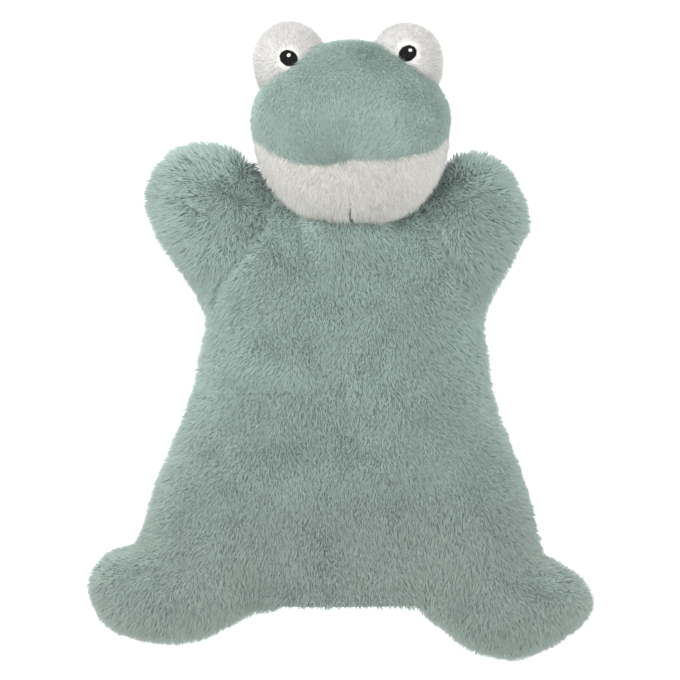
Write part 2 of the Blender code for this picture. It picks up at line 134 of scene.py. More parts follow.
# Lining of the hand room: heights, then half widths and depths there
LINING_HALF = (np.array((9.0, 60.0, 110.0, 150.0)) * MM, np.array((66.0, 62.0, 52.0, 40.0)) * MM)
LINING_DEPTH = (np.array((9.0, 60.0, 110.0, 150.0)) * MM, np.array((13.6, 16.0, 14.6, 12.4)) * MM)

# Finger pockets: the middle along the arm's hinge, then the mouth and the tip out from it, in mm
POCKETS = {"left": (36.0, 13.0, 34.0), "right": (-34.0, 13.0, 29.5)}
POCKET_HALF = np.array((17.5, 7.0)) * MM

# Eyes
EYE_RADIUS = {"left": 13.4 * MM, "right": 13.6 * MM}
EYE_DEEP, EYE_TALL = 0.97, 1.14
EYE_PLACES = {"left": (-22.0, -4.0, 227.0), "right": (26.9, -2.8, 226.7)}
PUPIL_PLACES = {"left": (-22.3, 228.4), "right": (27.5, 230.5)}
PUPIL_RADIUS = 4.0 * MM
STITCH_MARGIN = 0.15 * MM
PUPIL_LEAN = {"left": 62.0, "right": -58.0}
GLINTS = {"left": (-22.3, 229.6, 1.05, 0.65, 35.0), "right": (28.6, 231.8, 0.95, 0.55, 0.0)}


def unit(ways):
    """Directions at length 1: each over its own length."""
    return ways / np.maximum(np.linalg.norm(ways, axis=-1, keepdims=True), 1e-12)


def hinge(name):
    """A limb's hinge from the frame: a point on it, the direction along it and the one out of the body."""
    joint = JOINTS[name]
    place = np.array(joint["pos_m"])
    along = np.array(joint["axis"], float)
    out = np.cross(along, (0, 1, 0))
    out *= np.sign(out[0] * place[0])
    return place, along, out / np.linalg.norm(out)


ARM_HINGES = {side: hinge(f"arm_{side}_swing") for side in ("left", "right")}
FOOT_HINGES = {side: hinge(f"foot_{side}_flap") for side in ("left", "right")}


# Noise and curves


def hashed(cells, seed):
    """A number from 0 to 1 for each whole-number cell: the fraction left of a large sine."""
    wave = np.sin(cells @ np.array((127.1, 311.7, 74.7)) + seed * 17.31) * 43758.5453
    return wave - np.floor(wave)


def noise(points, size, seed):
    """Smooth noise from 0 to 1 with features about size across: eight hashed corners, mixed by smoothstep."""
    at = points / size
    low = np.floor(at)
    part = at - low
    part = part * part * (3 - 2 * part)
    total = np.zeros(len(points))
    for corner in np.ndindex(2, 2, 2):
        share = np.prod(np.where(corner, part, 1 - part), axis=1)
        total += share * hashed(low + corner, seed)
    return total


def smoothstep(low, high, value):
    """0 up to low, 1 from high on, and 3 t^2 - 2 t^3 between them."""
    share = np.clip((value - low) / (high - low), 0, 1)
    return share * share * (3 - 2 * share)


def smooth_curve(points, count):
    """count points along a Catmull-Rom curve through the given ones, evenly spaced by length."""
    points = np.array(points, float) * MM
    ends = np.concatenate([[2 * points[0] - points[1]], points, [2 * points[-1] - points[-2]]])
    t = np.linspace(0, 1, 13)[:-1, None]
    runs = []
    for a, b, c, d in zip(ends[:-3], ends[1:-2], ends[2:-1], ends[3:]):
        runs.append(
            0.5 * (2 * b + (c - a) * t + (2 * a - 5 * b + 4 * c - d) * t**2 + (3 * b - a - 3 * c + d) * t**3)
        )
    return even(np.concatenate([*runs, points[-1:]]), count)


def even(line, count):
    """A polyline again, with count evenly spaced points."""
    far = np.concatenate([[0], np.cumsum(np.linalg.norm(np.diff(line, axis=0), axis=1))])
    at = np.linspace(0, far[-1], count)
    return np.stack([np.interp(at, far, line[:, k]) for k in range(line.shape[1])], axis=1)


def closing_in(count, start=0):
    """count shares from start to 1, closer together near 1, and near -1 if they start there: a sine's."""
    return np.sin(np.linspace(start, 1, count) * np.pi / 2)


def out_of_body(hinges, x, z):
    """The furthest that points lie beyond any of the limbs' hinge lines, and how far along that hinge."""
    outs, alongs = [], []
    for place, along, out in hinges.values():
        outs.append((x - place[0]) * out[0] + (z - place[2]) * out[2])
        alongs.append(np.abs((x - place[0]) * along[0] + (z - place[2]) * along[2]))
    first = outs[0] > outs[1]
    return np.where(first, outs[0], outs[1]), np.where(first, alongs[0], alongs[1])


def longer_on_arms(place):
    """How much longer than the body's the pile is: 1 on the body and the feet, more on the arms."""
    out, _ = out_of_body(ARM_HINGES, place[:, 0], place[:, 2])
    return 1 + 0.32 * smoothstep(-18 * MM, 16 * MM, out) * (place[:, 2] > 95 * MM)


def inset_outline(points, side):
    """The cloth's own outline: the outline over the pile, moved in by the pile's rise there, less near its
    start."""
    line = smooth_curve(points, 240)
    ahead = unit(np.gradient(line, axis=0))
    inward = np.stack([ahead[:, 1], -ahead[:, 0]], axis=1) * -side
    share = np.minimum(1, np.arange(len(line)) / 8.0)
    share *= longer_on_arms(line[:, [0, 0, 1]])
    return line + inward * (PILE_RISE * share)[:, None]


OUTLINES = {"left": inset_outline(LEFT_OUTLINE, -1), "right": inset_outline(RIGHT_OUTLINE, 1)}


def rim_distance(x, z):
    """How far points of the plane lie from the body's outline."""
    points = np.stack([x.ravel(), z.ravel()], axis=1)
    best = np.full(len(points), np.inf)
    for line in OUTLINES.values():
        start, step = line[:-1], np.diff(line, axis=0)
        size = (step**2).sum(1)
        for low in range(0, len(points), 4000):
            to = points[low : low + 4000, None] - start[None]
            t = np.clip((to * step).sum(2) / size, 0, 1)
            far = np.linalg.norm(to - t[..., None] * step, axis=2).min(1)
            best[low : low + 4000] = np.minimum(best[low : low + 4000], far)
    return best.reshape(x.shape)


def parting(place, ends):
    """How far places lie from a parting, and the way from it to each of them, in the plane."""
    start, stop = np.array(ends[0]) * MM, np.array(ends[1]) * MM
    wander = np.stack([noise(place, 6 * MM, seed) - 0.5 for seed in (71, 72)], axis=1) * 5 * MM
    to = place[:, ::2] + wander - start
    along = stop - start
    t = np.clip(to @ along / (along @ along), 0, 1)
    away = to - t[:, None] * along
    far = np.linalg.norm(away, axis=1)
    return far, away / np.maximum(far, 1e-6)[:, None]


def half_thickness(x, z, side):
    """Half the body's thickness: a quarter ellipse of the distance to the outline, as deep as the body or the
    limb there, less the puckers at the shoulders, the partings and the stitched groove over the hem. The
    neck's round column joins it by the fourth root of the sum of both fourth powers."""
    arm_out, arm_along = out_of_body(ARM_HINGES, x, z)
    foot_out, _ = out_of_body(FOOT_HINGES, x, z)
    heights, depths = np.array(BODY_THICK).T * MM
    in_arm = smoothstep(-26 * MM, 14 * MM, arm_out) * smoothstep(80 * MM, 120 * MM, z)
    in_foot = smoothstep(-22 * MM, 12 * MM, foot_out) * smoothstep(60 * MM, 30 * MM, z)
    depth = np.interp(z, heights, depths)
    depth = depth + in_arm * (ARM_THICK - depth) + in_foot * (FOOT_THICK - depth)
    round_ = BODY_ROUND + in_arm * (ARM_ROUND - BODY_ROUND) + in_foot * (FOOT_ROUND - BODY_ROUND)
    share = np.clip(rim_distance(x, z) / round_, 0, 1)
    full = depth * np.sqrt(1 - (1 - share) ** 2)
    places = np.stack([x.ravel(), np.full(x.size, side * 0.05), z.ravel()], axis=1)
    swell, fine = (
        (noise(places, size, seed) - 0.5).reshape(x.shape) * deep * MM for size, seed, deep in SWELLS
    )
    on_fold = smoothstep(4 * MM, 20 * MM, arm_along) * smoothstep(66 * MM, 52 * MM, arm_along)
    pucker = PUCKER_DEEP * np.exp(-(((arm_out + 3 * MM) / PUCKER_WIDE) ** 2)) * on_fold * (z > 100 * MM)
    groove = GROOVE_DEEP * np.exp(-(((z - GROOVE_Z) / GROOVE_WIDE) ** 2)) * (in_foot < 0.2)
    for ends in PARTINGS:
        far, _ = parting(places, ends)
        groove = groove + ends[3] * MM * np.exp(-((far / (ends[2] * MM)) ** 2)).reshape(x.shape)
    edge = np.minimum(1, share * 4)
    body = np.maximum(full + (swell + fine - pucker - groove) * edge, 0)
    rows, shares = np.array(NECK_ROWS).T
    reach = np.interp(z, rows * MM, shares) * NECK_RADIUS
    neck = np.sqrt(np.maximum(reach**2 - (x - NECK_X) ** 2, 0))
    return (body**4 + neck**4) ** 0.25


# Surfaces: each is a grid of points, (rows, columns, 3)


def swelled(x, z, side):
    """A sheet of the plane swelled to the front (side -1) or the back (side 1)."""
    return np.stack([x, side * half_thickness(x, z, side), z], axis=2)


def cut_x(side, z):
    """Where the line that parts a foot from the body crosses the heights z."""
    place, along, out = FOOT_HINGES[side]
    start = place - FOOT_CUT * out
    return start[0] + (z - start[2]) * along[0] / along[2]


def foot_split(side):
    """The index of the outline's point where the line that parts the foot from the body meets it."""
    place, _, out = FOOT_HINGES[side]
    line = OUTLINES[side]
    outs = (line[:, 0] - place[0]) * out[0] + (line[:, 1] - place[2]) * out[2]
    above = np.nonzero((outs < -FOOT_CUT) & (line[:, 1] > 15 * MM))[0]
    return above[0]


def side_x(side, z):
    """The lower body's edge at the heights z: the outline, and below the foot's cut the cut's own line."""
    line = OUTLINES[side]
    first = foot_split(side)
    last = np.nonzero(line[:, 1] > LOWER_TOP)[0][0]
    on_side = np.interp(z, line[first : last + 1, 1], line[first : last + 1, 0])
    return np.where(z < line[first, 1], cut_x(side, z), on_side)


def lower_sheet(side):
    """The body from its hem to the chest: straight rows at each height, closer together at both edges, with
    a row through each of the corners where the feet's cuts reach the outline. The hem drops towards the left
    foot."""
    z = np.linspace(HEM_Z, LOWER_TOP, 64)
    corners = np.sort([OUTLINES[limb][foot_split(limb), 1] for limb in ("left", "right")])
    low = np.argmin(np.abs(z - corners[0]))
    high = max(low + 1, np.argmin(np.abs(z - corners[1])))
    z[[low, high]] = corners
    z = z[:, None]
    across = closing_in(96, -1)[None]
    left, right = side_x("left", z[:, 0])[:, None], side_x("right", z[:, 0])[:, None]
    x = (left + right) / 2 + (right - left) / 2 * across
    drop = HEM_DROP * smoothstep(-20 * MM, -35 * MM, x) * np.clip(1 - z / (14 * MM), 0, 1) ** 2
    return swelled(x, z - drop, side)


def upper_sheet(limb, side):
    """Half the chest with its arm: a patch between its four edges, which are the middle line, the row over
    the waist, the outer side up to the mitt's tip, and the neck with the arm's upper side."""
    line = OUTLINES[limb]
    start = np.nonzero(line[:, 1] > LOWER_TOP)[0][0]
    height = line[start:, 1] + 0.6 * np.abs(line[start:, 0])
    tip = start + np.argmax(height)
    base = np.array((side_x(limb, np.array([LOWER_TOP]))[0], LOWER_TOP))
    neck = np.stack([np.linspace(0, line[-1, 0], 20), np.linspace(BODY_TOP, line[-1, 1], 20)], axis=1)
    rows, columns = 74, 74
    outer = even(np.concatenate([[base], line[start + 1 : tip + 1]]), 200)
    upper = even(np.concatenate([neck[:-1], line[tip:][::-1]]), 200)
    u, v = closing_in(rows), closing_in(columns)
    at = np.linspace(0, 1, 200)

    def along(edge, where):
        """Places on one of the four edges, by the share of its length."""
        return np.stack([np.interp(where, at, edge[:, k]) for k in range(2)], axis=1)

    middle = np.stack([np.zeros(rows), LOWER_TOP + (BODY_TOP - LOWER_TOP) * u], axis=1)[:, None]
    low = np.stack([base[0] * v, np.full(columns, LOWER_TOP)], axis=1)[None]
    u_, v_ = u[:, None, None], v[None, :, None]
    corners = (1 - u_) * (1 - v_) * middle[0] + (1 - u_) * v_ * base
    corners = corners + u_ * (1 - v_) * middle[-1] + u_ * v_ * outer[-1]
    flat = (1 - v_) * middle + v_ * along(outer, u)[:, None]
    flat = flat + (1 - u_) * low + u_ * along(upper, v)[None] - corners
    return swelled(flat[..., 0], flat[..., 1], side)


def foot_sheet(limb, side):
    """A foot: straight lines from the cut across its root to the outline round its toes."""
    line = OUTLINES[limb]
    round_ = even(line[: foot_split(limb) + 1], 90)
    z = np.linspace(round_[0, 1], round_[-1, 1], 90)
    root = np.stack([cut_x(limb, z), z], axis=1)
    root[0], root[-1] = round_[0], round_[-1]
    v = closing_in(36)[None, :, None]
    flat = root[:, None] + (round_ - root)[:, None] * v
    return swelled(flat[..., 0], flat[..., 1], side)


def mouth_height(x):
    """The height of the mouth's line at x, a smooth curve through its points."""
    line = smooth_curve(MOUTH_LINE, 200)
    return np.interp(x, line[:, 0], line[:, 1])


def head_scale(ways):
    """The head's half sizes and its exponent along unit directions: blunt below, like a roof on top."""
    half = np.broadcast_to(HEAD_HALF, ways.shape).copy()
    half[..., 2] = np.where(ways[..., 2] > 0, HEAD_HALF[2], HEAD_DOWN)
    blunt, roof = HEAD_SQUARE
    return half, (blunt + (roof - blunt) * smoothstep(-0.3, 0.4, ways[..., 2]))[..., None]


def chin_push(z):
    """How far the head is pushed at the heights z: the chin stands before the chest and a little aside."""
    share = smoothstep(0.0, 1.0, (HEAD_CENTRE[2] - z) / HEAD_DOWN)
    return share[..., None] * np.array((CHIN_SLIDE, -CHIN_JUT, 0.0))


def head_surface(ways):
    """The head along unit directions: |x/a|^e + |y/b|^e + |z/c|^e = 1, with its chin pushed forward and a
    dimple where the neck goes in."""
    half, power = head_scale(ways)
    size = (np.abs(ways) ** power).sum(-1, keepdims=True) ** (-1 / power)
    points = HEAD_CENTRE + ways * size * half
    deep, wide = NECK_DIMPLE
    near = np.exp(-(((points[..., 0] - NECK_X) / wide) ** 2 + (points[..., 1] / wide) ** 2))
    push = chin_push(points[..., 2])
    points[..., 2] += deep * near * (ways[..., 2] < 0)
    return points + push


def inside_head(place, shrink):
    """Whether places lie inside the head's skin, drawn in by shrink: head_surface's sum is under 1 there."""
    way = place - HEAD_CENTRE - chin_push(place[:, 2])
    half, power = head_scale(unit(way))
    return (np.abs(way / (half - shrink)) ** power).sum(1) < 1


def head_ways(down, round_):
    """Unit directions by the angle down from the crown and the angle round from straight ahead."""
    a, b = np.radians(down), np.radians(round_)
    return np.stack([np.sin(a) * np.sin(b), -np.sin(a) * np.cos(b), np.cos(a) + 0 * b], axis=-1)


def mouth_angle(round_):
    """The angle down from the crown at which the head's front meets the mouth's line, found by halving."""
    low, high = np.full(round_.shape, 60.0), np.full(round_.shape, 140.0)
    for _ in range(24):
        middle = (low + high) / 2
        point = head_surface(head_ways(middle, round_))
        above = point[..., 2] > mouth_height(point[..., 0])
        low, high = np.where(above, middle, low), np.where(above, high, middle)
    return (low + high) / 2


def face_sheet():
    """The face from the crown to the mouth, swelled into a lip along the mouth's line."""
    share = np.linspace(0, 1, 90)[:, None]
    ways = head_ways(POLES[0] + (mouth_angle(FRONT_ROUND) - POLES[0]) * share, FRONT_ROUND)
    lip = LIP_RISE * smoothstep(0.55, 0.93, share) * np.sqrt(np.clip((1 - share) * 14, 0, 1))
    front = np.clip(np.cos(np.radians(FRONT_ROUND)), 0, 1) ** 0.5
    return head_surface(ways) + ways * (lip * front)[..., None]


def chin_sheet():
    """The chin and the head's underside, from just over the mouth's line to the lowest point."""
    share = np.linspace(0, 1, 60)[:, None]
    tops = mouth_angle(FRONT_ROUND) - 1.5
    return head_surface(head_ways(tops + (POLES[1] - tops) * share, FRONT_ROUND))


def back_sheet():
    """The back of the head from the crown to the lowest point, a little past each side."""
    return head_surface(head_ways(np.linspace(*POLES, 90)[:, None], np.linspace(88, 272, 90)))


def eye_sheet(limb):
    """An eye's bulge: a ball about an axis that faces forward, a little taller than it is wide."""
    a = np.radians(np.linspace(*POLES, 50))[:, None]
    b = np.radians(np.linspace(0, 360, 61))[None]
    ways = np.stack([np.sin(a) * np.sin(b), -np.cos(a) + 0 * b, np.sin(a) * np.cos(b)], axis=2)
    return np.array(EYE_PLACES[limb]) * MM + ways * EYE_RADIUS[limb] * np.array((1.0, EYE_DEEP, EYE_TALL))


# Meshes


def normals_of(grid):
    """Unit normals of a grid surface, from its differences along rows and columns."""
    return unit(np.cross(np.gradient(grid, axis=1), np.gradient(grid, axis=0)))


def face_areas(grid):
    """The areas of a grid surface's faces: half the cross product of each face's diagonals."""
    a, b, c, d = grid[:-1, :-1], grid[:-1, 1:], grid[1:, 1:], grid[1:, :-1]
    return np.linalg.norm(np.cross(c - a, d - b), axis=2) / 2


def facing_out(grid, centre):
    """The grid with its columns reversed if its normals point towards centre."""
    away = ((grid - centre) * normals_of(grid)).sum()
    return grid if away > 0 else grid[:, ::-1].copy()


def mesh_object(name, points, faces, material):
    """A mesh piece from whole arrays: points (n, 3) and faces (m, 3 or 4)."""
    mesh = bpy.data.meshes.new(name)
    sides = faces.shape[1]
    mesh.vertices.add(len(points))
    mesh.vertices.foreach_set("co", points.astype(np.float32).ravel())
    mesh.loops.add(faces.size)
    mesh.loops.foreach_set("vertex_index", faces.astype(np.int32).ravel())
    mesh.polygons.add(len(faces))
    mesh.polygons.foreach_set("loop_start", np.arange(0, faces.size, sides, dtype=np.int32))
    mesh.polygons.foreach_set("use_smooth", np.ones(len(faces), bool))
    mesh.update()
    mesh.validate()
    obj = bpy.data.objects.new(name, mesh)
    bpy.context.scene.collection.objects.link(obj)
    mesh.materials.append(material)
    return obj


def point_attribute(obj, name, values):
    """A number for each point of the mesh, for its material to read."""
    made = obj.data.attributes.new(name, "FLOAT", "POINT")
    made.data.foreach_set("value", np.asarray(values, np.float32).ravel())


def sheet_object(name, grid, material, wall=1.0 * MM):
    """A grid surface as a piece of cloth with a wall inwards."""
    rows, columns = grid.shape[:2]
    index = np.arange(rows * columns).reshape(rows, columns)
    faces = np.stack(
        [index[:-1, :-1], index[:-1, 1:], index[1:, 1:], index[1:, :-1]], axis=2
    ).reshape(-1, 4)[:, ::-1]
    obj = mesh_object(name, grid.reshape(-1, 3), faces, material)
    weld = obj.modifiers.new("closed_seams", "WELD")
    weld.merge_threshold = 0.02 * MM
    solid = obj.modifiers.new("wall", "SOLIDIFY")
    solid.thickness = wall
    solid.offset = -1.0
    return obj


# Pile


def scatter(grid, per_mm2, rng, keep):
    """Places spread over a grid surface, each with its normal: faces are drawn by their area, a place in a
    face by two random shares, and keep says which share of the places at each point stays."""
    normal, area = normals_of(grid), face_areas(grid)
    count = int(area.sum() / MM**2 * per_mm2 * STRANDS_SHARE)
    face = rng.choice(area.size, count, p=(area / area.sum()).ravel())
    i, k = np.unravel_index(face, area.shape)
    u, v = rng.random((2, count, 1))

    def at(values):
        """The values at the places, mixed from the four corners of their faces."""
        low = values[i, k] * (1 - v) + values[i, k + 1] * v
        return low * (1 - u) + (values[i + 1, k] * (1 - v) + values[i + 1, k + 1] * v) * u

    place, out = at(grid), unit(at(normal))
    stays = rng.random(count) < keep(place)
    return place[stays], out[stays]


def tuft_middles(points, size, seed):
    """The middle of each point's tuft: the nearest of one jittered place in each cell of a lattice."""
    cell = np.floor(points / size)
    best = np.full(len(points), np.inf)
    middle = points.copy()
    for step in np.ndindex(3, 3, 3):
        near = cell + np.array(step) - 1
        spot = (near + np.stack([hashed(near, seed + k) for k in range(3)], axis=1)) * size
        far = ((spot - points) ** 2).sum(1)
        closer = far < best
        best[closer] = far[closer]
        middle[closer] = spot[closer]
    return middle


def pile(name, grid, coat, nap, keep, material, seed):
    """Strands over a surface. Each lies along the nap, turned in the surface by noise, and stands up from it
    by its lift; the strands of a tuft lean towards its middle, and their tips gather there."""
    rng = np.random.default_rng(seed)
    root, normal = scatter(grid, coat["per_mm2"], rng, keep)
    count = len(root)
    turn = (noise(root, coat["swirl"], seed + 1) - 0.5) * coat["turn"]
    turn += (noise(root, 5 * MM, seed + 2) - 0.5) * coat["turn"] * 0.8 + rng.normal(0, 0.16, count)
    lean = nap(root)
    for ends in PARTINGS if coat is BODY_COAT else ():
        far, away = parting(root, ends)
        push = 0.42 * ends[4] * np.exp(-((far / (2.2 * ends[2] * MM)) ** 2)) * np.minimum(1, far / (1.2 * MM))
        lean[:, 0] += away[:, 0] * push
        lean[:, 2] += away[:, 1] * push
    lean = unit(lean - (lean * normal).sum(1, keepdims=True) * normal)
    across = np.cross(normal, lean)
    lean = lean * np.cos(turn)[:, None] + across * np.sin(turn)[:, None]
    long_ = coat["length"] * coat["longer"](root) * (0.72 + 0.56 * rng.random(count))
    long_ *= 0.85 + 0.3 * noise(root, 9 * MM, seed + 3)
    lift = np.radians(coat["lift"]) * (0.7 + 0.6 * rng.random(count))
    lift *= 0.75 + 0.5 * noise(root, 7 * MM, seed + 4)
    step = lean * (np.cos(lift) * long_)[:, None] + normal * (np.sin(lift) * long_)[:, None]
    for size, share in coat["tufts"]:
        pull = tuft_middles(root, size, seed) - root
        pull -= (pull * normal).sum(1, keepdims=True) * normal
        step += pull * share
    tip = root + step
    base = root - normal * ROOT_DEEP * MM
    by_height = np.array_split(np.argsort(root[:, 2], kind="stable"), -(-count // MOST_STRANDS))
    return [
        strand_mesh(f"{name}_{k + 1}", base[rows], tip[rows], normal[rows], coat["width"], material, rng)
        for k, rows in enumerate(by_height)
    ]


def strand_mesh(name, root, tip, normal, width, material, rng):
    """Strands as one mesh: each is a triangle round its root, closed below and tapering to its tip."""
    count = len(root)
    way = unit(tip - root)
    side = unit(np.cross(way, normal))
    up = np.cross(side, way)
    wide = width * (0.75 + 0.5 * rng.random(count))[:, None]
    corners = [
        root + (side * np.cos(turn) + up * np.sin(turn)) * wide * 0.5
        for turn in np.array((0.5, 0.5 + 2 / 3, 0.5 + 4 / 3)) * np.pi
    ]
    points = np.stack([*corners, tip], axis=1).reshape(-1, 3)
    pattern = np.array([(0, 2, 1), (0, 1, 3), (1, 2, 3), (2, 0, 3)])
    faces = (np.arange(count)[:, None, None] * 4 + pattern).reshape(-1, 3)
    obj = mesh_object(name, points, faces, material)
    point_attribute(obj, "height", np.tile((0.0, 0.0, 0.0, 1.0), count))
    point_attribute(obj, "tuft", np.repeat(rng.random(count), 4))
    return obj


# Materials


def new_material(name, roughness, sheen):
    """A cloth shader with its plain values set on its own sockets."""
    made = bpy.data.materials.new(name)
    made.use_nodes = True
    shader = made.node_tree.nodes["Principled BSDF"]
    shader.inputs["Roughness"].default_value = roughness
    shader.inputs["Specular IOR Level"].default_value = 0.2
    shader.inputs["Sheen Weight"].default_value = sheen
    shader.inputs["Sheen Roughness"].default_value = 0.45
    return made, made.node_tree, shader


def add(tree, kind, **values):
    """A new node with its settings."""
    node = tree.nodes.new(kind)
    for key, value in values.items():
        setattr(node, key, value)
    return node


def noise_node(tree, scale, detail=3.0):
    """Noise over Object coordinates, scale features to the metre."""
    where = add(tree, "ShaderNodeTexCoord")
    made = add(tree, "ShaderNodeTexNoise")
    made.inputs["Scale"].default_value = scale
    made.inputs["Detail"].default_value = detail
    tree.links.new(where.outputs["Object"], made.inputs["Vector"])
    return made


def ramp(tree, source, stops):
    """A number from a socket turned into a colour, by the colours at its stops."""
    made = add(tree, "ShaderNodeValToRGB")
    elements = made.color_ramp.elements
    while len(elements) < len(stops):
        elements.new(0.5)
    for element, (place, colour) in zip(elements, stops):
        element.position = place
        element.color = (*colour, 1)
    tree.links.new(source, made.inputs["Fac"])
    return made


def times(tree, a, b):
    """Two colours multiplied."""
    made = add(tree, "ShaderNodeMix", data_type="RGBA", blend_type="MULTIPLY")
    made.inputs["Factor"].default_value = 1.0
    tree.links.new(a, made.inputs[6])
    tree.links.new(b, made.inputs[7])
    return made.outputs[2]


def pile_material(name, root, body, tip, patch, heights):
    """Pile: dark at the root, painted shade deep in the pile, and pale at the tip, with cloudy patches, each
    strand a little different, and by heights darker towards the hem and lighter high up, painted light from above."""
    made, tree, shader = new_material(name, 0.88, 0.08)
    height = add(tree, "ShaderNodeAttribute", attribute_name="height")
    # Dark at the root: painted shade deep in the pile.
    colour = ramp(tree, height.outputs["Fac"], ((0.0, root), (0.45, body), (1.0, tip)))
    clouds = noise_node(tree, 38.0)
    shade = ramp(tree, clouds.outputs["Fac"], ((0.3, (1 - patch,) * 3), (0.72, (1 + patch,) * 3)))
    colour = times(tree, colour.outputs["Color"], shade.outputs["Color"])
    strand = add(tree, "ShaderNodeAttribute", attribute_name="tuft")
    lot = ramp(tree, strand.outputs["Fac"], ((0.0, (0.80,) * 3), (1.0, (1.18,) * 3)))
    colour = times(tree, colour, lot.outputs["Color"])
    # By height: darker towards the hem, and lighter high up, painted light from above.
    where = add(tree, "ShaderNodeTexCoord")
    axes = add(tree, "ShaderNodeSeparateXYZ")
    tree.links.new(where.outputs["Object"], axes.inputs[0])
    spread = add(tree, "ShaderNodeMapRange")
    spread.inputs["From Min"].default_value, spread.inputs["From Max"].default_value = HEIGHT_SHADING_SPAN
    tree.links.new(axes.outputs["Z"], spread.inputs["Value"])
    height_shading = ramp(tree, spread.outputs["Result"], heights)
    colour = times(tree, colour, height_shading.outputs["Color"])
    tree.links.new(colour, shader.inputs["Base Color"])
    return made


def cloth_material(name, dark, light, weave=900.0):
    """Cloth or thread: clouds and a fine grain multiplied for its colour, and the grain alone as bump."""
    made, tree, shader = new_material(name, 0.95, 0.1)
    clouds = noise_node(tree, 60.0)
    fine = noise_node(tree, weave, 1.0)
    both = add(tree, "ShaderNodeMath", operation="MULTIPLY")
    tree.links.new(clouds.outputs["Fac"], both.inputs[0])
    tree.links.new(fine.outputs["Fac"], both.inputs[1])
    colour = ramp(tree, both.outputs[0], ((0.12, dark), (0.42, light)))
    tree.links.new(colour.outputs["Color"], shader.inputs["Base Color"])
    bump = add(tree, "ShaderNodeBump")
    bump.inputs["Strength"].default_value = 0.35
    bump.inputs["Distance"].default_value = 0.0003
    tree.links.new(fine.outputs["Fac"], bump.inputs["Height"])
    tree.links.new(bump.outputs["Normal"], shader.inputs["Normal"])
    return made


# Heights that the ramps by height run between, in metres
HEIGHT_SHADING_SPAN = (-0.03, 0.25)
SAGE = np.array((0.436, 0.550, 0.514))
WHITE = np.array((0.885, 0.872, 0.852))
# Sage pile by height: darker towards the hem, a little darker at the mouth's height, and 1.13 times as bright over
# the top of the head, painted light from above.
SAGE_HEIGHTS = (
    (0.0, (0.90, 0.865, 0.855)), (0.22, (0.93, 0.90, 0.89)), (0.45, (1.0, 1.0, 1.0)),
    (0.66, (1.0, 1.0, 1.0)), (0.76, (0.97, 0.98, 0.97)), (0.84, (1.13, 1.13, 1.13)),
)
# White pile by height: 0.94 as bright below the eyes' middle, full bright above it, painted light on the upper
# part of each eye.
WHITE_HEIGHTS = ((0.0, (0.94, 0.935, 0.92)), (0.8, (0.94, 0.935, 0.92)), (0.9, (1.0, 1.0, 1.0)))
# Each pile's first colour, at the root, is darkened: painted shade deep in the pile.
SAGE_PILE = pile_material("sage_pile", SAGE * 0.40, SAGE * 0.94, SAGE * 1.12, 0.07, SAGE_HEIGHTS)
WHITE_PILE = pile_material("white_pile", WHITE * 0.80, WHITE * 0.97, WHITE * 1.04, 0.025, WHITE_HEIGHTS)
# The eyes' pile is the white pile made darker: painted shade, as the eyes are of the same white plush as the chin.
SHADED_EYE_PILE = pile_material("shaded_eye_pile", WHITE * 0.66, WHITE * 0.85, WHITE * 0.93, 0.03, WHITE_HEIGHTS)
SAGE_CLOTH = cloth_material("sage_backing", SAGE * 0.40, SAGE * 0.55)
WHITE_CLOTH = cloth_material("white_backing", WHITE * 0.58, WHITE * 0.68)
LINING_CLOTH = cloth_material("knit_lining", SAGE * 0.75, SAGE * 0.95)
STUFFING = cloth_material("stuffing_fibre", WHITE * 0.85, WHITE, 400.0)
FINE_GRAIN = 1500.0
BLACK_THREAD = cloth_material("black_thread", np.full(3, 0.003), np.full(3, 0.010), FINE_GRAIN)
for key, value in (("Sheen Weight", 0.0), ("Roughness", 0.5), ("Specular IOR Level", 0.08)):
    BLACK_THREAD.node_tree.nodes["Principled BSDF"].inputs[key].default_value = value
WHITE_THREAD = cloth_material("white_thread", WHITE * 0.9, WHITE * 1.05, FINE_GRAIN)
SEAM_THREAD = cloth_material("seam_thread", (0.10, 0.08, 0.06), (0.20, 0.17, 0.13), FINE_GRAIN)


# Coats and naps


def everywhere(place):
    """1 at every place: all the pile stays, or it is as long as the coat says."""
    return np.ones(len(place))


BODY_COAT = {
    "per_mm2": 5.25, "length": 4.7 * MM, "longer": longer_on_arms, "lift": 52, "width": 0.44 * MM,
    "turn": 0.9, "swirl": 14 * MM, "tufts": ((1.4 * MM, 0.5), (3.4 * MM, 0.16)),
}
BACK_COAT = {**BODY_COAT, "per_mm2": 3.8, "width": 0.5 * MM}
FACE_COAT = {
    **BODY_COAT, "per_mm2": 6.4, "length": 5.2 * MM, "longer": everywhere, "lift": 24,
    "width": 0.38 * MM, "turn": 0.22, "tufts": ((1.5 * MM, 0.6), (3.6 * MM, 0.12)),
}
CHIN_COAT = {**FACE_COAT, "length": 4.8 * MM, "lift": 38, "turn": 0.45, "tufts": ((1.5 * MM, 0.4),)}
EYE_COAT = {
    **FACE_COAT, "length": 3.4 * MM, "lift": 52, "turn": 0.6, "per_mm2": 8.4, "width": 0.4 * MM,
    "tufts": ((1.2 * MM, 0.2),),
}
COATS = {-1: BODY_COAT, 1: BACK_COAT}


def clear_of_head(place):
    """The chest's pile ends where the head begins."""
    return np.where(inside_head(place, 4 * MM), 0.0, 1.0)


def clear_of_seam(place):
    """The chin's pile parts over the lower end of its seam."""
    near = (np.abs(place[:, 0] - CHIN_SEAM_X) < CHIN_SEAM_LANE) & (place[:, 2] < CHIN_SEAM_TOP)
    return np.where(near, 0.0, 1.0)


def downwards(spread, middle=0.0):
    """A nap that lies downwards and spreads to both sides of x = middle."""

    def nap(place):
        lean = np.zeros_like(place)
        lean[:, 0] = spread * (place[:, 0] - middle)
        lean[:, 2] = -1.0
        return lean

    return nap


body_nap = downwards(4.0)
chin_nap = downwards(8.0, HEAD_CENTRE[0])
back_nap = downwards(0.0)


